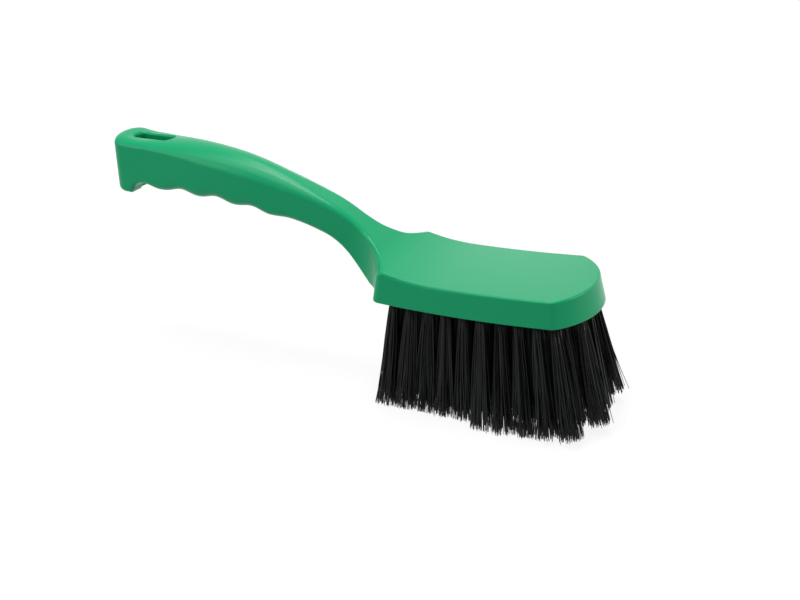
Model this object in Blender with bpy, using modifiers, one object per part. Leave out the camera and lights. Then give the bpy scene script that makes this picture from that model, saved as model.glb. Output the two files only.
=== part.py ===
"""Hand brush: a one-piece moulded body (handle, neck and head) with tufts of bristle set in its head.

Sizes are in metres. +X runs from the handle to the nose, +Z is up, and the brush is the same on both
sides of the plane y = 0. It stands on its bristle tips at z = 0. It is drawn from a point under the
middle tuft, and at the end its frame is set to the middle of the floor that it covers.
"""

import math

import bmesh
import bpy
import numpy as np
from mathutils import Matrix, Vector

# Head, in plan. The walls lean out towards the bottom rim.
HEAD_WIDTH = 0.0662
SIDE_LEAN = 0.0006
NOSE_X = 0.0385
REAR_X = -0.0503
WALL_LEAN = 0.0014
NOSE_BULGE = 0.0168
NOSE_TOP_BULGE = 0.0146
NOSE_CORNER_RADIUS = 0.0050
REAR_CORNER_RADIUS = 0.0040

# Head, from the side. Its underside is a shallow arc, and its top follows that arc.
UNDERSIDE_HEIGHT = 0.0576
UNDERSIDE_LOW_X = -0.0235
UNDERSIDE_RADIUS = 0.750
RIM_HEIGHT = 0.0143
RIM_BOTTOM_ROUNDING = 0.0008
RIM_TOP_ROUNDING = 0.0012

# Neck and handle, in plan. The handle's half widths are at shares of its length behind the neck.
NECK_WIDTH = 0.0166
FLARE_RADIUS = 0.0250
FLARE_TURN = 80.0
FLARE_TOP_TURN = 60.0
TOP_CORNER_X = -0.0475
TOP_CORNER_RADIUS = 0.0010
HANDLE_LENGTH = 0.1453
HANDLE_HALF_WIDTHS = (
    (0.162, 0.0092), (0.294, 0.0104), (0.426, 0.0122), (0.548, 0.0132), (0.792, 0.0138), (0.950, 0.0147),
)
END_LENGTH = 0.0066
END_SQUARENESS = 2.8

# Side view of the neck: distance behind REAR_X, and height over the head's top or underside
NECK_TOP = (
    (-0.0243, 0.0), (-0.0137, 0.0009), (-0.0066, 0.0021), (-0.0003, 0.0036), (0.0070, 0.0065),
    (0.0117, 0.0095), (0.0171, 0.0128), (0.0229, 0.0167),
)
NECK_BOTTOM = ((0.0150, 0.0012), (0.0200, 0.0044), (0.0245, 0.0085))

# Side view of the handle: share of its length behind the neck, and height over the same two levels
HANDLE_TOP = (
    (0.051, 0.0246), (0.127, 0.0296), (0.254, 0.0371), (0.426, 0.0448), (0.589, 0.0484), (0.751, 0.0488),
    (0.893, 0.0485), (0.955, 0.0489), (1.0, 0.0498),
)
HANDLE_BOTTOM = (
    (0.036, 0.0177), (0.081, 0.0218), (0.132, 0.0245), (0.203, 0.0274), (0.249, 0.0287), (0.321, 0.0291),
    (0.472, 0.0325), (0.623, 0.0346), (0.774, 0.0359), (1.0, 0.0369),
)

# Grip: finger dents in the underside, and a notch that leaves a hook at the handle's end
FINGER_DENTS = 3
FINGER_PITCH = 0.0223
FINGER_DEPTH = 0.0021
FIRST_CREST = 0.0314
HOOK_LENGTH = 0.0115
HOOK_DROP = 0.0041
NOTCH_LENGTH = 0.0179
NOTCH_DEPTH = 0.0026
NOTCH_PEAK = 0.42

# Rounding of the handle's long edges: share of its length behind the neck, and radius
TOP_ROUNDING = (
    (0.0, 0.0030), (0.12, 0.0042), (0.35, 0.0092), (0.55, 0.0100), (0.72, 0.0062), (0.914, 0.0029),
    (1.0, 0.0018),
)
BOTTOM_ROUNDING = (
    (0.0, 0.0028), (0.203, 0.0045), (0.812, 0.0040), (0.893, 0.0025), (0.944, 0.0030), (1.0, 0.0038),
)

# Slot for hanging the brush up, through the handle's end
SLOT_LENGTH = 0.0241
SLOT_WIDTH = 0.0098
SLOT_FROM_END = 0.0087
SLOT_CORNER_RADIUS = 0.0032
SLOT_EDGE = 0.0007

# Bristle field: tufts a row, from the middle row outwards
ROW_TUFTS = (11, 11, 10)
REAR_MARGIN = 0.0102
NOSE_MARGIN = 0.0084
SIDE_MARGIN = 0.0073
HOLE_DEPTH = 0.0100
TUFT_RADIUS = 0.0023
CLEARANCE = 0.0003

# Tufts: a bundle of strands, folded over a flat anchor in the blind end of its hole
LEG_STRANDS = 4
BRISTLE_LENGTH = 0.0595
COLLAR = 0.0012
FOLD_HEIGHT = 0.0018
FOLD_TOP_WIDTH = 0.0020
ANCHOR_HEIGHT = 0.0012
ANCHOR_THICKNESS = 0.0006
ANCHOR_BITE = 0.0005
STRAND_WIDTH = 0.0013
STRAND_TIP_WIDTH = 0.0010
SPREAD_SHARE = 0.42
MID_SPREAD = 0.0030
TIP_SPREAD = 0.0050
INNER_SHARE = 0.62

# Lean of the tufts, in degrees: along the head, and outwards in the outermost rows
REAR_LEAN = -2.6
FRONT_LEAN = 12.8
REAR_SIDE_LEAN = 3.9
FRONT_SIDE_LEAN = 8.9
FRONT_HALF_X = -0.0045

GREEN = (0.020, 0.290, 0.110)
BLACK = (0.012, 0.014, 0.014)


def between(low, high, share):
    return low + (high - low) * share


def smooth(points, x):
    """Height at x of a smooth line through points, which are given in rising order."""
    xs, ys = np.array(points).T
    slopes = np.gradient(ys, xs)
    x = min(max(x, xs[0]), xs[-1])
    i = min(int(np.searchsorted(xs, x, side="right")) - 1, len(xs) - 2)
    step = xs[i + 1] - xs[i]
    t = (x - xs[i]) / step
    return float(
        (2 * t**3 - 3 * t**2 + 1) * ys[i] + (t**3 - 2 * t**2 + t) * step * slopes[i]
        + (3 * t**2 - 2 * t**3) * ys[i + 1] + (t**3 - t**2) * step * slopes[i + 1]
    )


def arc(centre, radius, start, end, steps):
    """Points on an arc of a plan outline, angles in radians, both ends included."""
    return [
        (centre[0] + radius * math.cos(a), centre[1] + radius * math.sin(a))
        for a in np.linspace(start, end, steps + 1)
    ]


HOLE_SIDES = 2 * LEG_STRANDS
HOLE_RADIUS = TUFT_RADIUS + CLEARANCE / math.cos(math.pi / HOLE_SIDES)

# How a stretch of the outline is divided
END_STEPS = 8
FLARE_STEPS = 10
CORNER_STEPS = 4
SIDE_STEPS = 9
NOSE_CORNER_STEPS = 3
NOSE_STEPS = 8


def neck_x(half, rear_x, corner_radius, flare_radius, turn, neck):
    """Where the flare starts, and the length of its straight run, for one plan outline."""
    rise = half - corner_radius - neck - flare_radius + (flare_radius + corner_radius) * math.cos(turn)
    run = rise / math.sin(turn)
    start = rear_x - (corner_radius + flare_radius) * math.sin(turn) - run * math.cos(turn)
    return start, run


NECK_X = neck_x(
    HEAD_WIDTH / 2, REAR_X, REAR_CORNER_RADIUS, FLARE_RADIUS, math.radians(FLARE_TURN), NECK_WIDTH / 2
)[0]
END_X = NECK_X - HANDLE_LENGTH
HEAD_TOP = UNDERSIDE_HEIGHT + RIM_HEIGHT
GRIP_END = END_X + FIRST_CREST + FINGER_DENTS * FINGER_PITCH


def handle_share(x):
    return (NECK_X - x) / HANDLE_LENGTH


def side_line(neck_points, handle_points):
    """Points of a side view in terms of the distance behind the frame's x = 0."""
    neck = [(d - REAR_X, height) for d, height in neck_points]
    handle = [(share * HANDLE_LENGTH - NECK_X, height) for share, height in handle_points]
    return neck + handle


TOP_LINE = side_line(NECK_TOP, HANDLE_TOP)
BOTTOM_LINE = side_line(NECK_BOTTOM, HANDLE_BOTTOM)


def head_underside(x):
    return UNDERSIDE_HEIGHT + (x - UNDERSIDE_LOW_X) ** 2 / (2 * UNDERSIDE_RADIUS)


def top_height(x):
    if -x <= TOP_LINE[0][0]:
        return head_underside(x) + RIM_HEIGHT
    return HEAD_TOP + smooth(TOP_LINE, -x)


def finger_dents(x):
    """How far the grip's underside rises between its crests."""
    along = x - (END_X + FIRST_CREST)
    if not 0 < along < FINGER_DENTS * FINGER_PITCH:
        return 0.0
    return FINGER_DEPTH / 2 * (1 - math.cos(2 * math.pi * along / FINGER_PITCH))


def hook_and_notch(x):
    """Drop of the hook at the handle's end, and rise of the notch ahead of it."""
    share = (x - END_X - HOOK_LENGTH) / NOTCH_LENGTH
    if share <= 0:
        return -HOOK_DROP
    if share < NOTCH_PEAK:
        return (NOTCH_DEPTH + HOOK_DROP) * math.sqrt(1 - (1 - share / NOTCH_PEAK) ** 2) - HOOK_DROP
    if share < 1:
        return NOTCH_DEPTH / 2 * (1 + math.cos(math.pi * (share - NOTCH_PEAK) / (1 - NOTCH_PEAK)))
    return 0.0


def bottom_height(x):
    if -x <= BOTTOM_LINE[0][0]:
        return head_underside(x)
    return UNDERSIDE_HEIGHT + smooth(BOTTOM_LINE, -x) + finger_dents(x) + hook_and_notch(x)


def bottom_rounding(x):
    edge = -BOTTOM_LINE[0][0]
    if x > NECK_X:
        share = min((x - NECK_X) / (edge - NECK_X), 1.0)
        return between(BOTTOM_ROUNDING[0][1], RIM_BOTTOM_ROUNDING, share)
    return smooth(BOTTOM_ROUNDING, handle_share(x))


def grip_stations():
    """Places along the handle's side, closer together at the notch and the dents."""
    notch = END_X + HOOK_LENGTH
    stops = (
        (END_X + END_LENGTH, notch, 1), (notch, notch + NOTCH_PEAK * NOTCH_LENGTH, 7),
        (notch + NOTCH_PEAK * NOTCH_LENGTH, notch + NOTCH_LENGTH, 5),
        (notch + NOTCH_LENGTH, GRIP_END, 7 * FINGER_DENTS), (GRIP_END, NECK_X, 10),
    )
    places = []
    for low, high, steps in stops:
        places += [between(low, high, k / steps) for k in range(1, steps + 1)]
    return places[:-1]


def handle_outline():
    """One side of the handle in plan, from its end to the neck."""
    widths = ((0.0, NECK_WIDTH / 2),) + HANDLE_HALF_WIDTHS
    points = []
    for turn in np.linspace(0.0, math.pi / 2, END_STEPS + 1):
        x = END_X + END_LENGTH * (1 - math.cos(turn) ** (2 / END_SQUARENESS))
        points.append((x, HANDLE_HALF_WIDTHS[-1][1] * math.sin(turn) ** (2 / END_SQUARENESS)))
    return points + [(x, smooth(widths, handle_share(x))) for x in grip_stations()]


def head_outline(level, inset=0.0, rear_x=REAR_X, corner_radius=REAR_CORNER_RADIUS,
                 neck_inset=0.0, turn=FLARE_TURN):
    """One side of the neck's flare and of the head in plan, from the neck to the nose tip.

    level is 0 at the bottom rim and 1 at the top rim, and inset is how far inside the walls it runs.
    """
    lean = between(WALL_LEAN, 0.0, level)
    full_half = HEAD_WIDTH / 2 - SIDE_LEAN * level
    half = full_half - inset
    neck = NECK_WIDTH / 2 - neck_inset
    flare_radius = FLARE_RADIUS + neck_inset
    angle = math.radians(turn)
    start, run = neck_x(half, rear_x - lean, corner_radius, flare_radius, angle, neck)
    points = []
    for k in range(FLARE_STEPS + 1):
        distance = (flare_radius * angle + run) * k / FLARE_STEPS
        bend = min(distance / flare_radius, angle)
        rest = distance - bend * flare_radius
        x = start + flare_radius * math.sin(bend) + rest * math.cos(angle)
        y = neck + flare_radius * (1 - math.cos(bend)) + rest * math.sin(angle)
        points.append((x, y))
    rear_centre = (rear_x - lean, half - corner_radius)
    points += arc(rear_centre, corner_radius, angle + math.pi / 2, math.pi / 2, CORNER_STEPS)[1:]
    bulge = between(NOSE_BULGE, NOSE_TOP_BULGE, level)
    radius = (full_half**2 + bulge**2) / (2 * bulge)
    centre = NOSE_X + lean + bulge - radius
    nose_radius = radius - inset
    fillet = NOSE_CORNER_RADIUS - inset
    fillet_y = half - fillet
    fillet_x = centre + math.sqrt((nose_radius - fillet) ** 2 - fillet_y**2)
    nose_turn = math.atan2(fillet_y, fillet_x - centre)
    points += [(between(rear_centre[0], fillet_x, k / SIDE_STEPS), half) for k in range(1, SIDE_STEPS)]
    points += arc((fillet_x, fillet_y), fillet, math.pi / 2, nose_turn, NOSE_CORNER_STEPS)
    points += arc((centre, 0.0), nose_radius, nose_turn, 0.0, NOSE_STEPS)[1:]
    return points


def inward(points):
    """Unit normals of an outline that point into the part. Both its ends are on the plane y = 0."""
    normals = [Vector((1.0, 0.0))]
    for before, after in zip(points, points[2:]):
        along = (Vector(after) - Vector(before)).normalized()
        normals.append(Vector((along.y, -along.x)))
    return normals + [Vector((-1.0, 0.0))]


def moved_in(points, sizes):
    return [Vector(p) + n * size for p, n, size in zip(points, inward(points), sizes)]


def body_sections():
    """Cross-sections of one half of the body, from the handle's end to the nose tip."""
    handle = handle_outline()
    low = handle + head_outline(0.0)
    high = handle + head_outline(1.0)
    low_inner = moved_in(low, [bottom_rounding(x) for x, y in low])
    handle_inset = [smooth(TOP_ROUNDING, handle_share(x)) for x, y in handle]
    high_inner = moved_in(handle + [high[len(handle)]], handle_inset + [0.0])[:-1]
    high_inner += head_outline(
        1.0, RIM_TOP_ROUNDING, TOP_CORNER_X, TOP_CORNER_RADIUS, TOP_ROUNDING[0][1], FLARE_TOP_TURN
    )
    quarter = (0.0, math.pi / 6, math.pi / 3, math.pi / 2)
    sections = []
    for i in range(len(low)):
        points = []
        radius = bottom_rounding(low[i][0])
        for turn in quarter:
            x, y = Vector(low_inner[i]).lerp(Vector(low[i]), math.sin(turn))
            points.append((x, y, bottom_height(x) + radius * (1 - math.cos(turn))))
        radius = (Vector(high[i]) - Vector(high_inner[i])).length
        for turn in reversed(quarter):
            x, y = Vector(high_inner[i]).lerp(Vector(high[i]), math.sin(turn))
            points.append((x, y, top_height(x) - radius * (1 - math.cos(turn))))
        points.insert(0, (points[0][0], 0.0, points[0][2]))
        points.append((points[-1][0], 0.0, points[-1][2]))
        sections.append(points)
    return sections


def loft(bm, sections, closed=False):
    """Skin a row of sections with as many points each. Closed sections are rings, and get caps."""
    rows = [[bm.verts.new(p) for p in points] for points in sections]
    count = len(rows[0])
    for near, far in zip(rows, rows[1:]):
        for k in range(count if closed else count - 1):
            bm.faces.new((near[k], near[(k + 1) % count], far[(k + 1) % count], far[k]))
    if closed:
        bm.faces.new(rows[0])
        bm.faces.new(rows[-1])
    return rows


def new_object(name, bm, collection):
    bmesh.ops.recalc_face_normals(bm, faces=bm.faces)
    mesh = bpy.data.meshes.new(name)
    bm.to_mesh(mesh)
    bm.free()
    obj = bpy.data.objects.new(name, mesh)
    collection.objects.link(obj)
    return obj


def make_body(collection):
    bm = bmesh.new()
    loft(bm, body_sections())
    bmesh.ops.remove_doubles(bm, verts=bm.verts, dist=1e-6)
    obj = new_object("body", bm, collection)
    mirror = obj.modifiers.new("other_half", "MIRROR")
    mirror.use_axis = (False, True, False)
    mirror.use_clip = True
    mirror.merge_threshold = 0.00001
    return obj


def slot_outline(offset):
    """Rounded rectangle of the hanging slot in plan, grown by offset."""
    half_length = SLOT_LENGTH / 2 - SLOT_CORNER_RADIUS
    half_width = SLOT_WIDTH / 2 - SLOT_CORNER_RADIUS
    middle = END_X + SLOT_FROM_END + SLOT_LENGTH / 2
    radius = SLOT_CORNER_RADIUS + offset
    points = []
    for quarter, (sx, sy) in enumerate(((1, 1), (-1, 1), (-1, -1), (1, -1))):
        centre = (middle + sx * half_length, sy * half_width)
        points += arc(centre, radius, quarter * math.pi / 2, (quarter + 1) * math.pi / 2, 4)
    return points


def make_slot_cutter(collection):
    """Cutter of the slot, with a small slanted edge at its upper mouth."""
    below = bottom_height(END_X) - RIM_HEIGHT
    sections = [[(x, y, below) for x, y in slot_outline(0.0)]]
    for offset, rise in ((0.0, -SLOT_EDGE), (2 * SLOT_EDGE, SLOT_EDGE)):
        sections.append([(x, y, top_height(x) + rise) for x, y in slot_outline(offset)])
    bm = bmesh.new()
    loft(bm, sections, closed=True)
    return new_object("slot_cutter", bm, collection)


FIRST_X = REAR_X - REAR_CORNER_RADIUS - WALL_LEAN + REAR_MARGIN
LAST_X = NOSE_X + NOSE_BULGE + WALL_LEAN - NOSE_MARGIN
TUFT_PITCH = (LAST_X - FIRST_X) / (max(ROW_TUFTS) - 1)
ROWS_EACH_SIDE = len(ROW_TUFTS) - 1
ROW_PITCH = (HEAD_WIDTH / 2 - SIDE_MARGIN) / ROWS_EACH_SIDE


def tuft_places():
    """Row, number in the row, and place of each tuft, rows from the near side to the far side."""
    places = []
    for row in range(-ROWS_EACH_SIDE, ROWS_EACH_SIDE + 1):
        for k in range(ROW_TUFTS[abs(row)]):
            places.append((row + ROWS_EACH_SIDE + 1, k + 1, FIRST_X + k * TUFT_PITCH, row * ROW_PITCH))
    return places


def tuft_matrix(x, y):
    """Place and lean of the tuft in the hole at x, y. Its own -Z runs along the bristles."""
    outwards = y / (ROWS_EACH_SIDE * ROW_PITCH)
    along = between(REAR_LEAN, FRONT_LEAN, (x - FIRST_X) / (LAST_X - FIRST_X))
    side = outwards * (FRONT_SIDE_LEAN if x > FRONT_HALF_X else REAR_SIDE_LEAN)
    down = Vector((math.tan(math.radians(along)), math.tan(math.radians(side)), -1.0)).normalized()
    turn = Vector((0.0, 0.0, -1.0)).rotation_difference(down)
    return Matrix.Translation((x, y, head_underside(x))) @ turn.to_matrix().to_4x4()


def skin(bm, near, far):
    """Quads between two closed rings of vertices."""
    for k in range(len(near)):
        after = (k + 1) % len(near)
        bm.faces.new((near[k], near[after], far[after], far[k]))


def ring(bm, points):
    return [bm.verts.new(p) for p in points]


def leg_outline(side):
    """Plan of one of a tuft's two legs, from the middle of its inner edge round it. side is 1 or -1."""
    gap = ANCHOR_THICKNESS / 2 + CLEARANCE
    end = TUFT_RADIUS - gap * math.tan(math.pi / HOLE_SIDES)
    angles = [math.pi * k / LEG_STRANDS for k in range(1, LEG_STRANDS)]
    outer = [(TUFT_RADIUS * math.cos(a), TUFT_RADIUS * math.sin(a)) for a in angles]
    return [(x, side * y) for x, y in [(0.0, gap), (end, gap)] + outer + [(-end, gap)]]


def strand_ring(corners, spread, turn, width, drop):
    """Corners of a strand's section, spread out from the tuft's axis towards the angle turn."""
    middle = Vector((sum(c.x for c in corners), sum(c.y for c in corners), 0.0)) / len(corners)
    centre = Vector((spread * math.cos(turn), spread * math.sin(turn), -drop))
    return [centre + (Vector((c.x, c.y, 0.0)) - middle).normalized() * width / 2 for c in corners]


def cut_at_floor(matrix, above, tips):
    """Pull back the tips that would reach below the floor, along their own edges, onto it."""
    kept = []
    for top, tip in zip(above, tips):
        high, low = (matrix @ top).z, (matrix @ tip).z
        kept.append(tip if low >= 0 else top.lerp(tip, high / (high - low)))
    return kept


def make_tuft(name, matrix, collection):
    """A folded bundle: its fold over the anchor, two legs down the hole, and the strands they end in."""
    bm = bmesh.new()
    fold_top = HOLE_DEPTH - CLEARANCE
    crook = fold_top - FOLD_HEIGHT
    outline, crook_edge = [], []
    for side in (1, -1):
        plan = leg_outline(side)
        high = ring(bm, [(x, y, crook) for x, y in plan])
        low = ring(bm, [(x, y, -COLLAR) for x, y in plan])
        skin(bm, high, low)
        inner_edge = [high[1], high[0], high[-1]]
        outline += high[1:] if side > 0 else high[:0:-1]
        crook_edge += inner_edge if side > 0 else inner_edge[::-1]
        for k in range(LEG_STRANDS):
            start = [low[0], low[k + 1], low[k + 2]]
            corners = [v.co.copy() for v in start]
            turn = side * math.pi * (k + 0.5) / LEG_STRANDS
            share = INNER_SHARE if 0 < k < LEG_STRANDS - 1 else 1.0
            middle = strand_ring(
                corners, MID_SPREAD * share, turn, STRAND_WIDTH, COLLAR + SPREAD_SHARE * BRISTLE_LENGTH
            )
            tips = strand_ring(corners, TIP_SPREAD * share, turn, STRAND_TIP_WIDTH, BRISTLE_LENGTH)
            rings = [start, ring(bm, middle), ring(bm, cut_at_floor(matrix, middle, tips))]
            skin(bm, rings[0], rings[1])
            skin(bm, rings[1], rings[2])
            bm.faces.new(rings[2])
    narrow = FOLD_TOP_WIDTH / (2 * TUFT_RADIUS)
    top = ring(bm, [(v.co.x, v.co.y * narrow, fold_top) for v in outline])
    skin(bm, outline, top)
    bm.faces.new(top)
    bm.faces.new(crook_edge)
    obj = new_object(name, bm, collection)
    obj.matrix_world = matrix
    return obj


def make_anchors(matrices, collection):
    """Flat strips under the folds of the tufts. Their ends bite into the holes' walls, so they are
    joined to the body: the two are one solid there.
    """
    length = 2 * (HOLE_RADIUS + ANCHOR_BITE)
    height = HOLE_DEPTH - CLEARANCE - FOLD_HEIGHT - CLEARANCE - ANCHOR_HEIGHT / 2
    size = Matrix.Diagonal((length, ANCHOR_THICKNESS, ANCHOR_HEIGHT, 1.0))
    bm = bmesh.new()
    for matrix in matrices:
        bmesh.ops.create_cube(bm, size=1.0, matrix=matrix @ Matrix.Translation((0, 0, height)) @ size)
    return new_object("anchors", bm, collection)


def make_hole_cutters(matrices, collection):
    """Eight-sided blind holes, in line with their tufts, that run out past the underside."""
    outside = 2 * COLLAR
    middle = Matrix.Translation((0.0, 0.0, (HOLE_DEPTH - outside) / 2))
    bm = bmesh.new()
    for matrix in matrices:
        bmesh.ops.create_cone(
            bm, cap_ends=True, segments=HOLE_SIDES, radius1=HOLE_RADIUS, radius2=HOLE_RADIUS,
            depth=HOLE_DEPTH + outside, matrix=matrix @ middle,
        )
    return new_object("hole_cutters", bm, collection)


def combine(obj, other, operation):
    """Cut other out of obj, or join it on, and leave it in the scene as a guide."""
    other.hide_render = True
    other.display_type = "WIRE"
    modifier = obj.modifiers.new(other.name, "BOOLEAN")
    modifier.operation = operation
    modifier.object = other


def make_material(name, color, roughness):
    material = bpy.data.materials.new(name)
    material.use_nodes = True
    shader = material.node_tree.nodes["Principled BSDF"]
    shader.inputs["Base Color"].default_value = (*color, 1.0)
    shader.inputs["Roughness"].default_value = roughness
    return material


def new_collection(name):
    collection = bpy.data.collections.new(name)
    bpy.context.scene.collection.children.link(collection)
    return collection


def set_frame(pieces, collection):
    """Put every piece under an empty that moves the middle of the covered floor to the origin."""
    bpy.context.view_layer.update()
    xs = [(piece.matrix_world @ v.co).x for piece in pieces for v in piece.data.vertices]
    frame = bpy.data.objects.new("hand_brush_frame", None)
    frame.location.x = -(min(xs) + max(xs)) / 2
    collection.objects.link(frame)
    return frame


def main():
    for obj in list(bpy.data.objects):
        bpy.data.objects.remove(obj)
    brush = new_collection("hand_brush")
    guides = new_collection("guides")
    green = make_material("green_plastic", GREEN, 0.35)
    black = make_material("black_bristle", BLACK, 0.55)

    body = make_body(brush)
    body.data.materials.append(green)
    body.data.shade_smooth()
    body.data.set_sharp_from_angle(angle=math.radians(35))

    places = tuft_places()
    matrices = [tuft_matrix(x, y) for row, number, x, y in places]
    tufts = []
    for (row, number, x, y), matrix in zip(places, matrices):
        tuft = make_tuft(f"tuft_row{row}_{number:02d}", matrix, brush)
        tuft.data.materials.append(black)
        tufts.append(tuft)

    slot_cutter = make_slot_cutter(guides)
    hole_cutters = make_hole_cutters(matrices, guides)
    anchors = make_anchors(matrices, guides)
    combine(body, slot_cutter, "DIFFERENCE")
    combine(body, hole_cutters, "DIFFERENCE")
    combine(body, anchors, "UNION")

    frame = set_frame([body] + tufts, brush)
    for piece in [body, slot_cutter, hole_cutters, anchors] + tufts:
        piece.parent = frame


main()
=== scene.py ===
"""Looks of the hand brush: its moulded body in finer steps, and each tuft as a bundle of fine filaments.

Sizes are in metres and leans in degrees. +X runs from the handle to the nose, +Y to the far side, and +Z
up. The body is the same on both sides of the plane y = 0. The brush is drawn from a point on the floor,
about under its middle tuft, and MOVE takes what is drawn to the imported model's frame.
"""

import math
import random

import bmesh
import bpy
import numpy as np
from mathutils import Matrix, Vector


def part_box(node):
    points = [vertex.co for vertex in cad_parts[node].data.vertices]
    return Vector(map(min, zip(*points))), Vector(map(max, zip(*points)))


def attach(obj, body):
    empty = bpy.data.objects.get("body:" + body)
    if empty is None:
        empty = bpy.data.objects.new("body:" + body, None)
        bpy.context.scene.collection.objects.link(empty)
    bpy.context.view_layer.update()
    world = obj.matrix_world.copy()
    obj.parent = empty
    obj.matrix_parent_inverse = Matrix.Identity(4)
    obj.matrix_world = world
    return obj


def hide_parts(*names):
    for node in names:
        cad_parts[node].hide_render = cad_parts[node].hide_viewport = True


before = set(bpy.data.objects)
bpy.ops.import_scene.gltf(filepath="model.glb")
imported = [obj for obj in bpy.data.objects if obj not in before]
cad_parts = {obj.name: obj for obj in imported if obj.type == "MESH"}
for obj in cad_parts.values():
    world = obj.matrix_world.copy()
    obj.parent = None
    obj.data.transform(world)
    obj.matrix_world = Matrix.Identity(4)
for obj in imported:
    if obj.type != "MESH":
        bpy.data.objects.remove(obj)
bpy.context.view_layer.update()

# Head, in plan. The walls lean out towards the bottom rim. The flat top has rear corners of its own.
HEAD_WIDTH = 0.0662
SIDE_LEAN = 0.0006
NOSE_X = 0.0385
REAR_X = -0.0503
WALL_LEAN = 0.0014
NOSE_BULGE = 0.0168
NOSE_TOP_BULGE = 0.0146
NOSE_CORNER_RADIUS = 0.0050
REAR_CORNER_RADIUS = 0.0040
TOP_CORNER_X = -0.0475
TOP_CORNER_RADIUS = 0.0010

# Head, from the side. Its underside is a shallow arc, and its top follows that arc.
UNDERSIDE_HEIGHT = 0.0576
UNDERSIDE_LOW_X = -0.0235
UNDERSIDE_RADIUS = 0.750
RIM_HEIGHT = 0.0143
RIM_BOTTOM_ROUNDING = 0.0008
RIM_TOP_ROUNDING = 0.0012

# Neck and handle, in plan. The handle's half widths are at shares of its length behind the neck.
NECK_WIDTH = 0.0166
FLARE_RADIUS = 0.0250
FLARE_TURN = 80.0
FLARE_TOP_TURN = 60.0
HANDLE_LENGTH = 0.1453
HANDLE_HALF_WIDTHS = (
    (0.162, 0.0092), (0.294, 0.0104), (0.426, 0.0122), (0.548, 0.0132), (0.792, 0.0138), (0.950, 0.0147),
)

# The handle's end, in plan: half a superellipse. Its middle reaches END_BULGE past HANDLE_LENGTH.
END_LENGTH = 0.0070
END_BULGE = 0.0011
END_SQUARENESS = 2.3

# Side view of the neck: distance behind REAR_X, and height over the head's top or underside
NECK_TOP = (
    (-0.0243, 0.0), (-0.0137, 0.0009), (-0.0066, 0.0021), (-0.0003, 0.0036), (0.0070, 0.0065),
    (0.0117, 0.0095), (0.0171, 0.0128), (0.0229, 0.0167),
)
NECK_BOTTOM = ((0.0150, 0.0012), (0.0200, 0.0044), (0.0245, 0.0085))

# Side view of the handle: share of its length behind the neck, and height over the same two levels
HANDLE_TOP = (
    (0.051, 0.0246), (0.127, 0.0296), (0.254, 0.0371), (0.426, 0.0448), (0.589, 0.0486), (0.751, 0.0497),
    (0.840, 0.0490), (0.900, 0.0489), (0.955, 0.0501), (1.0, 0.0524),
)
HANDLE_BOTTOM = (
    (0.036, 0.0177), (0.081, 0.0218), (0.132, 0.0245), (0.203, 0.0274), (0.249, 0.0287), (0.321, 0.0291),
    (0.472, 0.0325), (0.623, 0.0346), (0.774, 0.0359), (1.0, 0.0369),
)

# Grip: finger dents in the underside, and a notch that leaves a hook at the handle's end. HOOK_SOFTNESS
# rounds the corner between the two.
FINGER_DENTS = 3
FINGER_PITCH = 0.0223
FINGER_DEPTH = 0.0021
FIRST_CREST = 0.0314
HOOK_LENGTH = 0.0115
HOOK_DROP = 0.0041
NOTCH_LENGTH = 0.0179
NOTCH_DEPTH = 0.0026
NOTCH_PEAK = 0.42
HOOK_SOFTNESS = 0.0012
HOOK_SAMPLES = 9

# Rounding of the handle's long edges: share of its length behind the neck, and height of the rounding
TOP_ROUNDING = (
    (0.0, 0.0030), (0.12, 0.0042), (0.35, 0.0092), (0.55, 0.0101), (0.72, 0.0072), (0.86, 0.0042),
    (0.95, 0.0047), (1.0, 0.0058),
)
BOTTOM_ROUNDING = (
    (0.0, 0.0028), (0.203, 0.0045), (0.812, 0.0040), (0.893, 0.0025), (0.944, 0.0030), (1.0, 0.0038),
)

# The handle's top: share of its length behind the neck, and 0 where it is flat between rounded edges or 1
# where it is one arch from side to side. At the very end its crest starts about END_ARCH_LENGTH in.
ARCH = ((0.10, 0.0), (0.24, 0.5), (0.38, 1.0), (0.66, 1.0), (0.76, 0.9), (0.86, 0.25), (1.0, 0.25))
END_ARCH_LENGTH = 0.0045

# Slot for hanging the brush up, through the handle's end. SLOT_EDGE is the rounding of its upper mouth.
SLOT_LENGTH = 0.0241
SLOT_WIDTH = 0.0098
SLOT_FROM_END = 0.0087
SLOT_CORNER_RADIUS = 0.0032
SLOT_EDGE = 0.0015

# Bristle field: tufts a row, from the middle row outwards, and their holes. The cutter of a hole reaches
# HOLE_OVERRUN out of the underside.
ROW_TUFTS = (11, 11, 10)
REAR_MARGIN = 0.0102
NOSE_MARGIN = 0.0084
SIDE_MARGIN = 0.0073
HOLE_DEPTH = 0.0090
HOLE_RADIUS = 0.0026
HOLE_OVERRUN = 0.0024

# Lean of the tufts: along the head, outwards in the outermost rows, where it changes at FRONT_HALF_X, and
# to the far side at the nose. CORNER_SPLAY adds to it at the nose's corners. A higher NOSE_STEEPNESS keeps
# that nearer to the nose.
REAR_LEAN = -2.5
FRONT_LEAN = 12.0
REAR_SIDE_LEAN = 3.7
FRONT_SIDE_LEAN = 9.0
FRONT_HALF_X = -0.0045
FAR_LEAN = 2.0
CORNER_SPLAY = 5.0
NOSE_STEEPNESS = 4

# A tuft: its length out of the head, how much shorter it is at the nose, how deep its filaments start in
# the hole, its radius at both ends, and how square it is at its tips. EVEN_SPREAD is the share of its
# widening that is even along its length.
BRISTLE_LENGTH = 0.0605
NOSE_WEAR = 0.0026
ROOT_DEPTH = 0.0030
ROOT_RADIUS = 0.0023
TIP_RADIUS = 0.0058
TIP_SQUARENESS = 0.7
EVEN_SPREAD = 0.55

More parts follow.
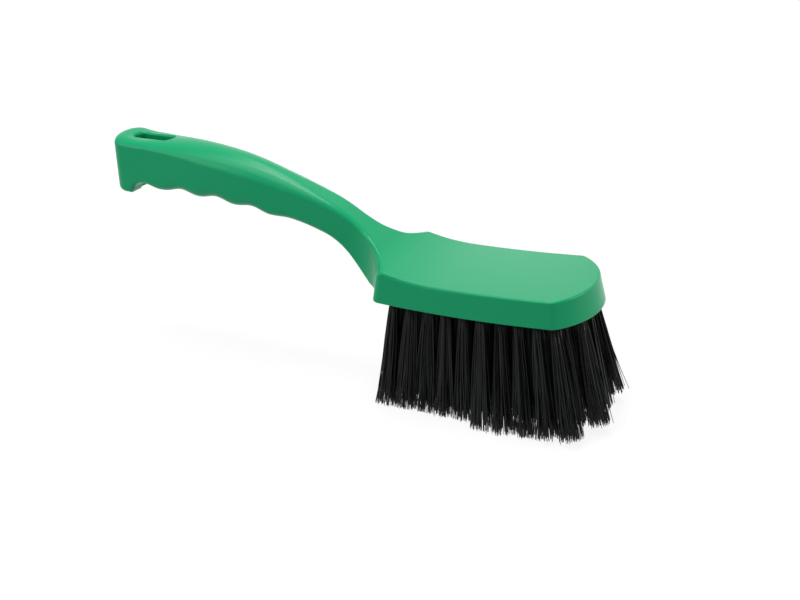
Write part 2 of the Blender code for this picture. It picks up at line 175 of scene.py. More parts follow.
# Filaments of a tuft. A tip is pulled up to CLUMP_PULL of the way to the nearest clump, and clumps lie
# from CLUMP_NEAREST of the tuft's radius outwards. A few strays reach further out.
FILAMENTS = 180
FILAMENT_WIDTH = 0.00042
FILAMENT_TIP_SHARE = 0.75
CLUMPS = 6
CLUMP_NEAREST = 0.2
CLUMP_PULL = 0.3
STRAY_SHARE = 0.03
STRAY_REACH = (1.2, 1.5)
TIP_SCATTER = 0.0005
BOW_SCATTER = 0.0006
LENGTH_SCATTER = 0.0006
FLOOR_SCATTER = 0.0002
FIRST_SEED = 100

# Fineness: steps of each stretch of the body's outline, of its roundings, of the slot and of a filament,
# and the sides of a hole and of a filament
END_STEPS = 26
HOOK_STEPS = 12
NOTCH_RISE_STEPS = 21
NOTCH_FALL_STEPS = 15
DENT_STEPS = 21
GRIP_NECK_STEPS = 30
FLARE_STEPS = 30
CORNER_STEPS = 10
SIDE_STEPS = 18
NOSE_CORNER_STEPS = 9
NOSE_STEPS = 24
ROUNDING_STEPS = 12
SLOT_CORNER_STEPS = 8
SLOT_EDGE_STEPS = 6
FILAMENT_STEPS = 5
HOLE_SIDES = 20
FILAMENT_SIDES = 3

# Points closer than these are welded, and edges that turn by more than these degrees are shaded sharp.
WELD_DISTANCE = 0.000001
MIDDLE_WELD_DISTANCE = 0.00001
BODY_SHARP_TURN = 32
FILAMENT_SHARP_TURN = 95

# Green plastic: the greens of its flow marks, which are long along X, and the roughness of its rubbed
# spots. Noise scales are per metre. Waves and grain have a depth in metres and a strength.
PLASTIC_GREENS = ((0.0022, 0.346, 0.1415), (0.0024, 0.354, 0.1445))
PLASTIC_ROUGHNESS = (0.272, 0.283)
PLASTIC_IOR = 1.49
PLASTIC_SPECULAR = 0.17
FLOW_SCALE = 38.0
FLOW_STRETCH = (0.35, 1.0, 1.0)
RUB_SCALE = 55.0
WAVE_SCALE = 110.0
WAVE_DEPTH = 0.0004
WAVE_STRENGTH = 0.015
GRAIN_SCALE = 2600.0
GRAIN_DEPTH = 0.00002
GRAIN_STRENGTH = 0.12
NOISE_RANGE = (0.1, 0.9)

# Black filament: from a darker and glossier one to a greyer and duller one, with ridges along Z
FILAMENT_BLACKS = ((0.0030, 0.0038, 0.0036), (0.0110, 0.0130, 0.0126))
FILAMENT_ROUGHNESS = (0.34, 0.52)
FILAMENT_SPECULAR = 0.22
RIDGE_SCALE = 900.0
RIDGE_STRETCH = (1.0, 1.0, 0.05)
RIDGE_DEPTH = 0.00004
RIDGE_STRENGTH = 0.6

# Floor, just under the bristle tips. FLOOR_GREY is for the light that it throws back. Where it is seen, it
# is SEEN_GREY and a glow, which goes from the first of SEEN_GLOW to the second between the two distances
# from its middle.
FLOOR_RADIUS = 3.0
FLOOR_SIDES = 64
FLOOR_DROP = 0.0004
FLOOR_GREY = 0.55
FLOOR_ROUGHNESS = 0.9
SEEN_GREY = 0.16
SEEN_GLOW = (0.86, 1.0)
GLOW_DISTANCES = (0.30, 0.90)

# World: how strongly it lights the object. Where it is seen, it is white.
WORLD_STRENGTH = 0.10
WHITE = (1.0, 1.0, 1.0, 1.0)

# Square softboxes, all turned to LIGHT_TARGET: name, place, side and power in watts
LIGHT_TARGET = (0.0, 0.0, 0.08)
LIGHTS = (
    ("softbox_above", (0.00, 0.00, 1.28), 0.32, 4.1),
    ("softbox_above_middle", (-0.09, 0.25, 1.25), 0.32, 2.2),
    ("softbox_above_behind", (-0.18, 0.49, 1.16), 0.32, 1.8),
    ("softbox_above_left", (-0.27, -0.05, 1.25), 0.32, 1.8),
    ("softbox_front_high", (-0.28, -0.49, 1.14), 0.55, 4.0),
    ("softbox_front", (-0.62, -0.89, 0.59), 0.60, 3.6),
    ("softbox_right", (1.12, 0.30, 0.39), 0.55, 6.0),
    ("sheen_behind", (-0.31, 1.14, 0.28), 0.28, 0.48),
)

# Camera, fitted to the brush's outline: place before MOVE, direction in degrees, and lens and sensor in mm
CAMERA_PLACE = (0.13319, -0.44382, 0.26864)
CAMERA_AZIMUTH = 22.779
CAMERA_ELEVATION = 24.841
CAMERA_LENS = 43.9
CAMERA_SENSOR = 36.0
CAMERA_CLIP_START = 0.01


def between(low, high, share):
    return low + (high - low) * share


def smooth(points, x):
    """Height at x of a smooth line through points, which are given in rising order."""
    xs, ys = np.array(points).T
    slopes = np.gradient(ys, xs)
    x = min(max(x, xs[0]), xs[-1])
    i = min(int(np.searchsorted(xs, x, side="right")) - 1, len(xs) - 2)
    step = xs[i + 1] - xs[i]
    t = (x - xs[i]) / step
    return float(
        (2 * t**3 - 3 * t**2 + 1) * ys[i] + (t**3 - 2 * t**2 + t) * step * slopes[i]
        + (3 * t**2 - 2 * t**3) * ys[i + 1] + (t**3 - t**2) * step * slopes[i + 1]
    )


def arc(centre, radius, start, end, steps):
    """Points on an arc of a plan outline, angles in radians, both ends included."""
    return [
        (centre[0] + radius * math.cos(a), centre[1] + radius * math.sin(a))
        for a in np.linspace(start, end, steps + 1)
    ]


def flare_start(half, rear_x, corner_radius, flare_radius, turn, neck):
    """Where the flare starts, and the length of its straight run, for one plan outline."""
    rise = half - corner_radius - neck - flare_radius + (flare_radius + corner_radius) * math.cos(turn)
    run = rise / math.sin(turn)
    start = rear_x - (corner_radius + flare_radius) * math.sin(turn) - run * math.cos(turn)
    return start, run


NECK_X = flare_start(
    HEAD_WIDTH / 2, REAR_X, REAR_CORNER_RADIUS, FLARE_RADIUS, math.radians(FLARE_TURN), NECK_WIDTH / 2
)[0]
END_X = NECK_X - HANDLE_LENGTH
HEAD_TOP = UNDERSIDE_HEIGHT + RIM_HEIGHT
GRIP_END = END_X + FIRST_CREST + FINGER_DENTS * FINGER_PITCH

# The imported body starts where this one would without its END_BULGE.
MOVE = Matrix.Translation((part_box("body")[0].x - END_X, 0.0, 0.0))


def handle_share(x):
    """How far behind the neck x is, as a share of the handle's length."""
    return (NECK_X - x) / HANDLE_LENGTH


def side_line(neck_points, handle_points):
    """Points of the neck and then the handle in side view, each as -x and height."""
    neck = [(d - REAR_X, height) for d, height in neck_points]
    handle = [(share * HANDLE_LENGTH - NECK_X, height) for share, height in handle_points]
    return neck + handle


TOP_LINE = side_line(NECK_TOP, HANDLE_TOP)
BOTTOM_LINE = side_line(NECK_BOTTOM, HANDLE_BOTTOM)


def head_underside(x):
    return UNDERSIDE_HEIGHT + (x - UNDERSIDE_LOW_X) ** 2 / (2 * UNDERSIDE_RADIUS)


def top_height(x):
    """Height of the body's top in its middle."""
    if -x <= TOP_LINE[0][0]:
        return head_underside(x) + RIM_HEIGHT
    return HEAD_TOP + smooth(TOP_LINE, -x)


def half_width(x):
    """Half the handle's width. Its end curve is left out."""
    return smooth(((0.0, NECK_WIDTH / 2),) + HANDLE_HALF_WIDTHS, handle_share(x))


def arch(x):
    """0 where the handle's top is flat with rounded edges, 1 where it is one arch from side to side."""
    return min(smooth(ARCH, handle_share(x)), 1.0)


def arched_height(x, y):
    """Height of the handle's top at x, y."""
    half = half_width(x)
    drop = smooth(TOP_ROUNDING, handle_share(x))
    inner = (half - drop) * (1 - arch(x))
    out = max(abs(y) - inner, 0.0) / (half - inner)
    return top_height(x) - drop * (1 - math.sqrt(1 - out**2))


def finger_dents(x):
    """How far the finger dents raise the underside."""
    along = x - (END_X + FIRST_CREST)
    if not 0 < along < FINGER_DENTS * FINGER_PITCH:
        return 0.0
    return FINGER_DEPTH / 2 * (1 - math.cos(2 * math.pi * along / FINGER_PITCH))


def sharp_hook_and_notch(x):
    """How far the notch raises the underside, or the hook lowers it, with a sharp corner between them."""
    share = (x - END_X - HOOK_LENGTH) / NOTCH_LENGTH
    if share <= 0:
        return -HOOK_DROP
    if share < NOTCH_PEAK:
        return (NOTCH_DEPTH + HOOK_DROP) * math.sqrt(1 - (1 - share / NOTCH_PEAK) ** 2) - HOOK_DROP
    if share < 1:
        return NOTCH_DEPTH / 2 * (1 + math.cos(math.pi * (share - NOTCH_PEAK) / (1 - NOTCH_PEAK)))
    return 0.0


def hook_and_notch(x):
    """The same with that corner rounded, as the mean over a short length around x."""
    steps = np.linspace(-HOOK_SOFTNESS, HOOK_SOFTNESS, HOOK_SAMPLES)
    return sum(sharp_hook_and_notch(x + step) for step in steps) / len(steps)


def bottom_height(x):
    """Height of the body's underside in its middle."""
    if -x <= BOTTOM_LINE[0][0]:
        return head_underside(x)
    return UNDERSIDE_HEIGHT + smooth(BOTTOM_LINE, -x) + finger_dents(x) + hook_and_notch(x)


def bottom_rounding(x):
    """Rounding of the lower edge, which shrinks to the rim's from the neck to the head."""
    edge = -BOTTOM_LINE[0][0]
    if x > NECK_X:
        share = min((x - NECK_X) / (edge - NECK_X), 1.0)
        return between(BOTTOM_ROUNDING[0][1], RIM_BOTTOM_ROUNDING, share)
    return smooth(BOTTOM_ROUNDING, handle_share(x))


def grip_stations():
    """Places of the cross-sections from the curve of the handle's end to just before the neck."""
    notch = END_X + HOOK_LENGTH
    peak = notch + NOTCH_PEAK * NOTCH_LENGTH
    notch_end = notch + NOTCH_LENGTH
    stretches = (
        (END_X + END_LENGTH, notch, HOOK_STEPS),
        (notch, peak, NOTCH_RISE_STEPS),
        (peak, notch_end, NOTCH_FALL_STEPS),
        (notch_end, GRIP_END, FINGER_DENTS * DENT_STEPS),
        (GRIP_END, NECK_X, GRIP_NECK_STEPS),
    )
    places = []
    for low, high, steps in stretches:
        places += [between(low, high, k / steps) for k in range(1, steps + 1)]
    return places[:-1]


def handle_outline():
    """One side of the handle in plan, from the middle of its end to just before the neck."""
    points = []
    for turn in np.linspace(0.0, math.pi / 2, END_STEPS + 1):
        back = (END_LENGTH + END_BULGE) * math.cos(turn) ** (2 / END_SQUARENESS)
        out = HANDLE_HALF_WIDTHS[-1][1] * math.sin(turn) ** (2 / END_SQUARENESS)
        points.append((END_X + END_LENGTH - back, out))
    return points + [(x, half_width(x)) for x in grip_stations()]


def flare_outline(start, run, neck, radius, angle):
    """One side of the neck's flare in plan: an arc that starts along the neck, and a straight run."""
    points = []
    for k in range(FLARE_STEPS + 1):
        distance = (radius * angle + run) * k / FLARE_STEPS
        bend = min(distance / radius, angle)
        rest = distance - bend * radius
        x = start + radius * math.sin(bend) + rest * math.cos(angle)
        y = neck + radius * (1 - math.cos(bend)) + rest * math.sin(angle)
        points.append((x, y))
    return points


def nose_outline(level, inset, side_start, lean, full_half):
    """The head's side after side_start, the nose's corner and half of the nose, in plan."""
    half = full_half - inset
    bulge = between(NOSE_BULGE, NOSE_TOP_BULGE, level)
    radius = (full_half**2 + bulge**2) / (2 * bulge)
    centre = NOSE_X + lean + bulge - radius
    nose_radius = radius - inset
    fillet = NOSE_CORNER_RADIUS - inset
    fillet_y = half - fillet
    fillet_x = centre + math.sqrt((nose_radius - fillet) ** 2 - fillet_y**2)
    nose_turn = math.atan2(fillet_y, fillet_x - centre)
    points = [(between(side_start, fillet_x, k / SIDE_STEPS), half) for k in range(1, SIDE_STEPS)]
    points += arc((fillet_x, fillet_y), fillet, math.pi / 2, nose_turn, NOSE_CORNER_STEPS)
    points += arc((centre, 0.0), nose_radius, nose_turn, 0.0, NOSE_STEPS)[1:]
    return points


def head_outline(level, inset=0.0, rear_x=REAR_X, corner_radius=REAR_CORNER_RADIUS,
                 neck_inset=0.0, turn=FLARE_TURN):
    """One side of the neck's flare and of the head in plan. level is 0 at the bottom rim, 1 at the top."""
    lean = between(WALL_LEAN, 0.0, level)
    full_half = HEAD_WIDTH / 2 - SIDE_LEAN * level
    half = full_half - inset
    neck = NECK_WIDTH / 2 - neck_inset
    flare_radius = FLARE_RADIUS + neck_inset
    angle = math.radians(turn)
    start, run = flare_start(half, rear_x - lean, corner_radius, flare_radius, angle, neck)
    centre = (rear_x - lean, half - corner_radius)
    points = flare_outline(start, run, neck, flare_radius, angle)
    points += arc(centre, corner_radius, angle + math.pi / 2, math.pi / 2, CORNER_STEPS)[1:]
    return points + nose_outline(level, inset, centre[0], lean, full_half)


def inward(points):
    """Direction into the body at each point of an outline from the handle's end to the nose."""
    normals = [Vector((1.0, 0.0))]
    for before, after in zip(points, points[2:]):
        along = (Vector(after) - Vector(before)).normalized()
        normals.append(Vector((along.y, -along.x)))
    return normals + [Vector((-1.0, 0.0))]


def moved_in(points, sizes):
    return [Vector(p) + n * size for p, n, size in zip(points, inward(points), sizes)]


def handle_crest(x, y, drop):
    """Where the rounding of the handle's top starts, in plan, for the outline's point at x, y."""
    end_share = max(1 - (x - END_X) / END_LENGTH, 0.0)
    flat = Vector((x + drop * end_share, y * (1 - drop / half_width(x))))
    middle = Vector((x + END_ARCH_LENGTH * end_share, 0.0))
    return flat.lerp(middle, arch(x))


def cross_section(low_inner, low, high_inner, high, drop):
    """Points from the middle of the underside, round one side, to the middle of the top."""
    quarter = [math.pi / 2 * k / ROUNDING_STEPS for k in range(ROUNDING_STEPS + 1)]
    radius = bottom_rounding(low[0])
    points = []
    for turn in quarter:
        x, y = Vector(low_inner).lerp(Vector(low), math.sin(turn))
        points.append((x, y, bottom_height(x) + radius * (1 - math.cos(turn))))
    for turn in reversed(quarter):
        x, y = Vector(high_inner).lerp(Vector(high), math.sin(turn))
        points.append((x, y, top_height(x) - drop * (1 - math.cos(turn))))
    points.insert(0, (points[0][0], 0.0, points[0][2]))
    points.append((points[-1][0], 0.0, points[-1][2]))
    return points


def body_sections():
    """Cross-sections of the body's far half, from the handle's end to the nose."""
    handle = handle_outline()
    low = handle + head_outline(0.0)
    high = handle + head_outline(1.0)
    low_inner = moved_in(low, [bottom_rounding(x) for x, y in low])
    drops = [smooth(TOP_ROUNDING, handle_share(x)) for x, y in handle]
    high_inner = [handle_crest(x, y, drop) for (x, y), drop in zip(handle, drops)]
    high_inner += head_outline(
        1.0, RIM_TOP_ROUNDING, TOP_CORNER_X, TOP_CORNER_RADIUS, TOP_ROUNDING[0][1], FLARE_TOP_TURN
    )
    for outer, inner in zip(high[len(handle):], high_inner[len(handle):]):
        drops.append((Vector(outer) - Vector(inner)).length)
    return [cross_section(*parts) for parts in zip(low_inner, low, high_inner, high, drops)]


def loft(bm, sections, closed=False):
    """Skin over rows of points. closed makes each row a ring, and caps both ends."""
    rows = [[bm.verts.new(p) for p in points] for points in sections]
    count = len(rows[0])
    for near, far in zip(rows, rows[1:]):
        for k in range(count if closed else count - 1):
            bm.faces.new((near[k], near[(k + 1) % count], far[(k + 1) % count], far[k]))
    if closed:
        bm.faces.new(rows[0])
        bm.faces.new(rows[-1])


def add_object(name, data):
    obj = bpy.data.objects.new(name, data)
    bpy.context.scene.collection.objects.link(obj)
    return obj


def add_mesh(name, bm):
    """New object from a finished bmesh, with its faces turned outwards."""
    bmesh.ops.recalc_face_normals(bm, faces=bm.faces)
    mesh = bpy.data.meshes.new(name)
    bm.to_mesh(mesh)
    bm.free()
    return add_object(name, mesh)


def slot_outline(offset):
    """The slot in plan, larger by offset all round."""
    middle = END_X + SLOT_FROM_END + SLOT_LENGTH / 2
    corner_x = SLOT_LENGTH / 2 - SLOT_CORNER_RADIUS
    corner_y = SLOT_WIDTH / 2 - SLOT_CORNER_RADIUS
    radius = SLOT_CORNER_RADIUS + offset
    points = []
    for quarter, (sx, sy) in enumerate(((1, 1), (-1, 1), (-1, -1), (1, -1))):
        centre = (middle + sx * corner_x, sy * corner_y)
        start = quarter * math.pi / 2
        end = (quarter + 1) * math.pi / 2
        points += arc(centre, radius, start, end, SLOT_CORNER_STEPS)
    return points


def slot_cutter():
    """Cutter of the slot, from well below the handle to above it, with a rounded upper mouth."""
    below = bottom_height(END_X) - RIM_HEIGHT
    sections = [[(x, y, below) for x, y in slot_outline(0.0)]]
    for k in range(SLOT_EDGE_STEPS + 1):
        turn = math.pi / 2 * k / SLOT_EDGE_STEPS
        offset = SLOT_EDGE * (1 - math.cos(turn))
        rise = SLOT_EDGE * (math.sin(turn) - 1)
        sections.append([(x, y, arched_height(x, y) + rise) for x, y in slot_outline(offset)])
    sections.append([(x, y, top_height(x) + SLOT_EDGE) for x, y in slot_outline(2 * SLOT_EDGE)])
    bm = bmesh.new()
    loft(bm, sections, closed=True)
    return add_mesh("slot_cutter", bm)


def hole_cutters(matrices):
    """Cutters of the tufts' blind holes."""
    up = Matrix.Translation((0, 0, (HOLE_DEPTH - HOLE_OVERRUN) / 2))
    bm = bmesh.new()
    for matrix in matrices:
        bmesh.ops.create_cone(
            bm, cap_ends=True, segments=HOLE_SIDES, radius1=HOLE_RADIUS, radius2=HOLE_RADIUS,
            depth=HOLE_DEPTH + HOLE_OVERRUN, matrix=matrix @ up,
        )
    return add_mesh("hole_cutters", bm)


def cut(obj, cutter):
    """Apply the object's modifiers, take the cutter out of it, and remove the cutter."""
    modifier = obj.modifiers.new("cut", "BOOLEAN")
    modifier.operation = "DIFFERENCE"
    modifier.object = cutter
    bpy.context.view_layer.update()
    depsgraph = bpy.context.evaluated_depsgraph_get()
    mesh = bpy.data.meshes.new_from_object(obj.evaluated_get(depsgraph))
    obj.modifiers.clear()
    obj.data = mesh
    bpy.data.objects.remove(cutter)


def make_body(matrices):
    """The moulded body, with its slot and a hole for each tuft."""
    bm = bmesh.new()
    loft(bm, body_sections())
    bmesh.ops.remove_doubles(bm, verts=bm.verts, dist=WELD_DISTANCE)
    obj = add_mesh("moulded_body", bm)
    mirror = obj.modifiers.new("other_half", "MIRROR")
    mirror.use_axis = (False, True, False)
    mirror.merge_threshold = MIDDLE_WELD_DISTANCE
    cut(obj, slot_cutter())
    cut(obj, hole_cutters(matrices))
    obj.data.transform(MOVE)
    obj.data.shade_smooth()
    obj.data.set_sharp_from_angle(angle=math.radians(BODY_SHARP_TURN))
    weighted = obj.modifiers.new("even_shading", "WEIGHTED_NORMAL")
    weighted.keep_sharp = True
    return obj


FIRST_X = REAR_X - REAR_CORNER_RADIUS - WALL_LEAN + REAR_MARGIN
LAST_X = NOSE_X + NOSE_BULGE + WALL_LEAN - NOSE_MARGIN
TUFT_PITCH = (LAST_X - FIRST_X) / (max(ROW_TUFTS) - 1)
ROWS_EACH_SIDE = len(ROW_TUFTS) - 1
ROW_PITCH = (HEAD_WIDTH / 2 - SIDE_MARGIN) / ROWS_EACH_SIDE


def tuft_places():
    """Node name and place of each tuft, rows from the near side to the far side."""
    places = []
    for row in range(-ROWS_EACH_SIDE, ROWS_EACH_SIDE + 1):
        for k in range(ROW_TUFTS[abs(row)]):
            name = f"tuft_row{row + ROWS_EACH_SIDE + 1}_{k + 1:02d}"
            places.append((name, FIRST_X + k * TUFT_PITCH, row * ROW_PITCH))
    return places


def tuft_share(x):
    """0 at the rearmost tufts, 1 at the ones nearest to the nose."""
    return (x - FIRST_X) / (LAST_X - FIRST_X)


def nose_share(x):
    """The same, but staying near 0 over most of the head."""
    return tuft_share(x) ** NOSE_STEEPNESS


def tuft_matrix(x, y):
    """Place and lean of the tuft in the hole at x, y. Its own -Z runs along the bristles."""
    outwards = y / (ROWS_EACH_SIDE * ROW_PITCH)
    share = tuft_share(x)
    splay = CORNER_SPLAY * nose_share(x)
    along = between(REAR_LEAN, FRONT_LEAN, share) + splay * abs(outwards)
    side = outwards * (FRONT_SIDE_LEAN if x > FRONT_HALF_X else REAR_SIDE_LEAN)
    side += FAR_LEAN * share + splay / 2 * max(outwards, 0.0)
    down = Vector((math.tan(math.radians(along)), math.tan(math.radians(side)), -1.0)).normalized()
    turn = Vector((0.0, 0.0, -1.0)).rotation_difference(down)
    return Matrix.Translation((x, y, head_underside(x))) @ turn.to_matrix().to_4x4()


def scattered(rng, size):
    return Vector((rng.gauss(0, size), rng.gauss(0, size)))


def clump_places(rng):
    """Places across a tuft that its tips are drawn to, where 1 is the tuft's radius."""
    places = []
    for k in range(CLUMPS):
        angle = 2 * math.pi * (k + rng.random()) / CLUMPS
        places.append(Vector((math.cos(angle), math.sin(angle))) * rng.uniform(CLUMP_NEAREST, 1.0))
    return places


def filament_tip(rng, root, clumps):
    """Place of a filament's tip across its tuft. root is the place of its root, where 1 is the radius."""
    clump = min(clumps, key=lambda c: (c - root).length)
    squared = root * (root.length / max(abs(root.x), abs(root.y)))
    tip = root.lerp(squared, TIP_SQUARENESS).lerp(clump, rng.uniform(0.0, CLUMP_PULL)) * TIP_RADIUS
    tip += scattered(rng, TIP_SCATTER)
    if rng.random() < STRAY_SHARE:
        tip *= rng.uniform(*STRAY_REACH)
    return tip


def filament_points(rng, matrix, tuft_length, clumps):
    """Points of one filament from inside its hole to its tip, cut where it would reach the floor."""
    angle = rng.uniform(0, 2 * math.pi)
    radius = math.sqrt(rng.random())
    root = Vector((math.cos(angle), math.sin(angle))) * radius
    tip = filament_tip(rng, root, clumps)
    bow = scattered(rng, BOW_SCATTER)
    length = tuft_length + rng.gauss(0, LENGTH_SCATTER)
    floor = abs(rng.gauss(0, FLOOR_SCATTER))
    start = root * ROOT_RADIUS
    points = []
    for k in range(FILAMENT_STEPS + 1):
        share = k / FILAMENT_STEPS
        spread = share * between(EVEN_SPREAD, 1.0, share)
        side = start.lerp(tip, spread) + bow * 4 * share * (1 - share)
        z = ROOT_DEPTH - (length + ROOT_DEPTH) * share
        points.append(matrix @ Vector((side.x, side.y, z)))
    high, low = points[-2].z, points[-1].z
    if low < floor:
        points[-1] = points[-2].lerp(points[-1], (high - floor) / (high - low))
    return points


def tube_corners(points, turn):
    """Corners of a filament's thin tube, the first at the angle turn. No filament runs along aside."""
    aside = Vector((0.3, 1.0, 0.1))
    corners = []
    for k, point in enumerate(points):
        along = (points[min(k + 1, FILAMENT_STEPS)] - points[max(k - 1, 0)]).normalized()
        across = along.cross(aside).normalized()
        other = along.cross(across)
        half = FILAMENT_WIDTH / 2 * (1.0 if k < FILAMENT_STEPS else FILAMENT_TIP_SHARE)
        for s in range(FILAMENT_SIDES):
            a = turn + 2 * math.pi * s / FILAMENT_SIDES
            corners.append(point + (across * math.cos(a) + other * math.sin(a)) * half)
    return corners


def tube_faces(first):
    """Faces of a filament's tube whose corners are numbered from first on."""
    faces = []
    for k in range(FILAMENT_STEPS):
        row = first + k * FILAMENT_SIDES
        for s in range(FILAMENT_SIDES):
            after = (s + 1) % FILAMENT_SIDES
            faces.append((row + s, row + after, row + FILAMENT_SIDES + after, row + FILAMENT_SIDES + s))
    last = first + FILAMENT_STEPS * FILAMENT_SIDES
    faces.append(tuple(range(first, first + FILAMENT_SIDES))[::-1])
    faces.append(tuple(range(last, last + FILAMENT_SIDES)))
    return faces


def make_tuft(name, matrix, seed):
    """A bundle of filaments, each a thin tube, as one mesh."""
    rng = random.Random(seed)
    clumps = clump_places(rng)
    length = BRISTLE_LENGTH - NOSE_WEAR * nose_share(matrix.translation.x)
    matrix = MOVE @ matrix
    corners = []
    faces = []
    for _ in range(FILAMENTS):
        points = filament_points(rng, matrix, length, clumps)
        faces += tube_faces(len(corners))
        corners += tube_corners(points, rng.uniform(0, math.pi))
    mesh = bpy.data.meshes.new(name)
    mesh.from_pydata(corners, [], faces)
    mesh.shade_smooth()
    mesh.set_sharp_from_angle(angle=math.radians(FILAMENT_SHARP_TURN))
    return add_object(name, mesh)


def material_nodes(name):
    material = bpy.data.materials.new(name)
    material.use_nodes = True
    tree = material.node_tree
    return material, tree, tree.nodes["Principled BSDF"]


def object_place(tree):
    return tree.nodes.new("ShaderNodeTexCoord").outputs["Object"]


def ramp(tree, source, low, high, positions=(0.0, 1.0)):
    """From low to high, as source goes from the first of positions to the second."""
    node = tree.nodes.new("ShaderNodeMapRange")
    node.inputs["From Min"].default_value = positions[0]
    node.inputs["From Max"].default_value = positions[1]
    node.inputs["To Min"].default_value = low
    node.inputs["To Max"].default_value = high
    tree.links.new(source, node.inputs["Value"])
    return node.outputs["Result"]


def noise(tree, coordinate, scale, detail, stretch=(1, 1, 1)):
    mapping = tree.nodes.new("ShaderNodeMapping")
    mapping.inputs["Scale"].default_value = stretch
    tree.links.new(coordinate, mapping.inputs["Vector"])
    node = tree.nodes.new("ShaderNodeTexNoise")
    node.inputs["Scale"].default_value = scale
    node.inputs["Detail"].default_value = detail
    tree.links.new(mapping.outputs["Vector"], node.inputs["Vector"])
    return node.outputs["Fac"]


def bump(tree, height, distance, strength, normal=None):
    node = tree.nodes.new("ShaderNodeBump")
    node.inputs["Distance"].default_value = distance
    node.inputs["Strength"].default_value = strength
    tree.links.new(height, node.inputs["Height"])
    if normal:
        tree.links.new(normal, node.inputs["Normal"])
    return node.outputs["Normal"]


def mixed_color(tree, factor, low, high):
    node = tree.nodes.new("ShaderNodeMix")
    node.data_type = "RGBA"
    node.inputs["A"].default_value = (*low, 1.0)
    node.inputs["B"].default_value = (*high, 1.0)
    tree.links.new(factor, node.inputs["Factor"])
    return node.outputs["Result"]


def mixed_shader(tree, factor, first, second):
    """The first shader where factor is 0, the second where it is 1."""
    node = tree.nodes.new("ShaderNodeMixShader")
    tree.links.new(factor, node.inputs["Fac"])
    tree.links.new(first, node.inputs[1])
    tree.links.new(second, node.inputs[2])
    return node.outputs["Shader"]


def larger(tree, first, second):
    node = tree.nodes.new("ShaderNodeMath")
    node.operation = "MAXIMUM"
    tree.links.new(first, node.inputs[0])
    tree.links.new(second, node.inputs[1])
    return node.outputs["Value"]


def seen(tree):
    """1 for rays from the camera, from gloss and from glass, which see the white backdrop, else 0."""
    path = tree.nodes.new("ShaderNodeLightPath")
    gloss = larger(tree, path.outputs["Is Glossy Ray"], path.outputs["Is Transmission Ray"])
    return larger(tree, path.outputs["Is Camera Ray"], gloss)


def green_plastic():
    """Moulded plastic: a fine grain, slow waves, faint flow marks and faintly rubbed spots."""
    material, tree, shader = material_nodes("moulded_green_plastic")
    place = object_place(tree)
    flow = noise(tree, place, FLOW_SCALE, detail=3.0, stretch=FLOW_STRETCH)
    flow_share = ramp(tree, flow, 0.0, 1.0, NOISE_RANGE)
    tree.links.new(mixed_color(tree, flow_share, *PLASTIC_GREENS), shader.inputs["Base Color"])
    rubbed = noise(tree, place, RUB_SCALE, detail=3.0)
    tree.links.new(ramp(tree, rubbed, *PLASTIC_ROUGHNESS, NOISE_RANGE), shader.inputs["Roughness"])
    grain = noise(tree, place, GRAIN_SCALE, detail=2.0)
    wave = noise(tree, place, WAVE_SCALE, detail=2.0)
    waves = bump(tree, wave, WAVE_DEPTH, WAVE_STRENGTH)
    tree.links.new(bump(tree, grain, GRAIN_DEPTH, GRAIN_STRENGTH, waves), shader.inputs["Normal"])
    shader.inputs["IOR"].default_value = PLASTIC_IOR
    shader.inputs["Specular IOR Level"].default_value = PLASTIC_SPECULAR
    return material


def black_bristle():
    """Extruded filament: near black with fine ridges, and with a shade and a gloss of its own each."""
    material, tree, shader = material_nodes("black_filament")
    place = object_place(tree)
    island = tree.nodes.new("ShaderNodeNewGeometry").outputs["Random Per Island"]
    tree.links.new(mixed_color(tree, island, *FILAMENT_BLACKS), shader.inputs["Base Color"])
    tree.links.new(ramp(tree, island, *FILAMENT_ROUGHNESS), shader.inputs["Roughness"])
    ridges = noise(tree, place, RIDGE_SCALE, detail=2.0, stretch=RIDGE_STRETCH)
    tree.links.new(bump(tree, ridges, RIDGE_DEPTH, RIDGE_STRENGTH), shader.inputs["Normal"])
    shader.inputs["Specular IOR Level"].default_value = FILAMENT_SPECULAR
    return material


def floor_material():
    """White floor. Where it is seen, it is lifted to the picture's white, with the shadow kept."""
    material, tree, shader = material_nodes("white_floor")
    shader.inputs["Base Color"].default_value = (FLOOR_GREY, FLOOR_GREY, FLOOR_GREY, 1.0)
    shader.inputs["Roughness"].default_value = FLOOR_ROUGHNESS
    shader.inputs["Specular IOR Level"].default_value = 0.0
    dim = tree.nodes.new("ShaderNodeBsdfDiffuse")
    dim.inputs["Color"].default_value = (SEEN_GREY, SEEN_GREY, SEEN_GREY, 1.0)
    place = object_place(tree)
    distance = tree.nodes.new("ShaderNodeVectorMath")
    distance.operation = "LENGTH"
    tree.links.new(place, distance.inputs[0])
    glow = tree.nodes.new("ShaderNodeEmission")
    strength = ramp(tree, distance.outputs["Value"], *SEEN_GLOW, GLOW_DISTANCES)
    tree.links.new(strength, glow.inputs["Strength"])
    lifted = tree.nodes.new("ShaderNodeAddShader")
    tree.links.new(dim.outputs["BSDF"], lifted.inputs[0])
    tree.links.new(glow.outputs["Emission"], lifted.inputs[1])
    surface = mixed_shader(tree, seen(tree), shader.outputs["BSDF"], lifted.outputs["Shader"])
    tree.links.new(surface, tree.nodes["Material Output"].inputs["Surface"])
    return material


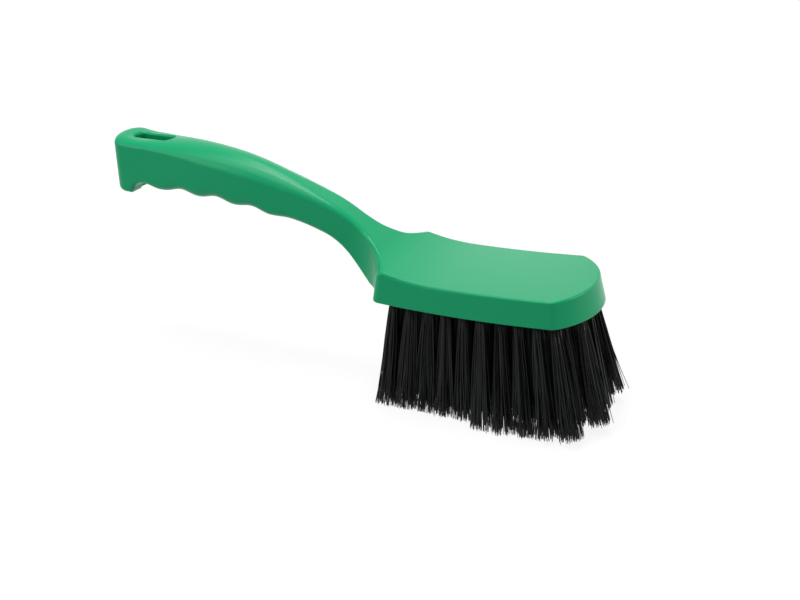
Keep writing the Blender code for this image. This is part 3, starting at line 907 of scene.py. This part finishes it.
def make_floor():
    bm = bmesh.new()
    bmesh.ops.create_circle(bm, cap_ends=True, segments=FLOOR_SIDES, radius=FLOOR_RADIUS)
    floor = add_mesh("floor", bm)
    floor.location = (0.0, 0.0, -FLOOR_DROP)
    floor.data.materials.append(floor_material())


def make_world():
    world = bpy.data.worlds.new("studio")
    bpy.context.scene.world = world
    world.use_nodes = True
    tree = world.node_tree
    dim = tree.nodes["Background"]
    dim.inputs["Strength"].default_value = WORLD_STRENGTH
    dim.inputs["Color"].default_value = WHITE
    white = tree.nodes.new("ShaderNodeBackground")
    white.inputs["Color"].default_value = WHITE
    surface = mixed_shader(tree, seen(tree), dim.outputs["Background"], white.outputs["Background"])
    tree.links.new(surface, tree.nodes["World Output"].inputs["Surface"])


def make_light(name, place, side, power):
    light = bpy.data.lights.new(name, "AREA")
    light.shape = "SQUARE"
    light.size = side
    light.energy = power
    obj = add_object(name, light)
    obj.location = place
    obj.rotation_euler = (Vector(LIGHT_TARGET) - Vector(place)).to_track_quat("-Z", "Y").to_euler()


def make_camera():
    camera = bpy.data.cameras.new("camera")
    camera.lens = CAMERA_LENS
    camera.sensor_width = CAMERA_SENSOR
    camera.clip_start = CAMERA_CLIP_START
    obj = add_object("camera", camera)
    obj.location = MOVE @ Vector(CAMERA_PLACE)
    obj.rotation_euler = (math.radians(90 - CAMERA_ELEVATION), 0.0, math.radians(CAMERA_AZIMUTH))
    bpy.context.scene.camera = obj


bpy.context.scene.view_settings.view_transform = "Standard"
make_camera()
make_world()
make_floor()
for light in LIGHTS:
    make_light(*light)

places = [(name, tuft_matrix(x, y)) for name, x, y in tuft_places()]
body = make_body([matrix for name, matrix in places])
body.data.materials.clear()
body.data.materials.append(green_plastic())
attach(body, "root")
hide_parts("body")

bristle = black_bristle()
for number, (name, matrix) in enumerate(places):
    tuft = make_tuft(name.replace("tuft_", "filaments_"), matrix, FIRST_SEED + number)
    tuft.data.materials.append(bristle)
    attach(tuft, "root")
    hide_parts(name)
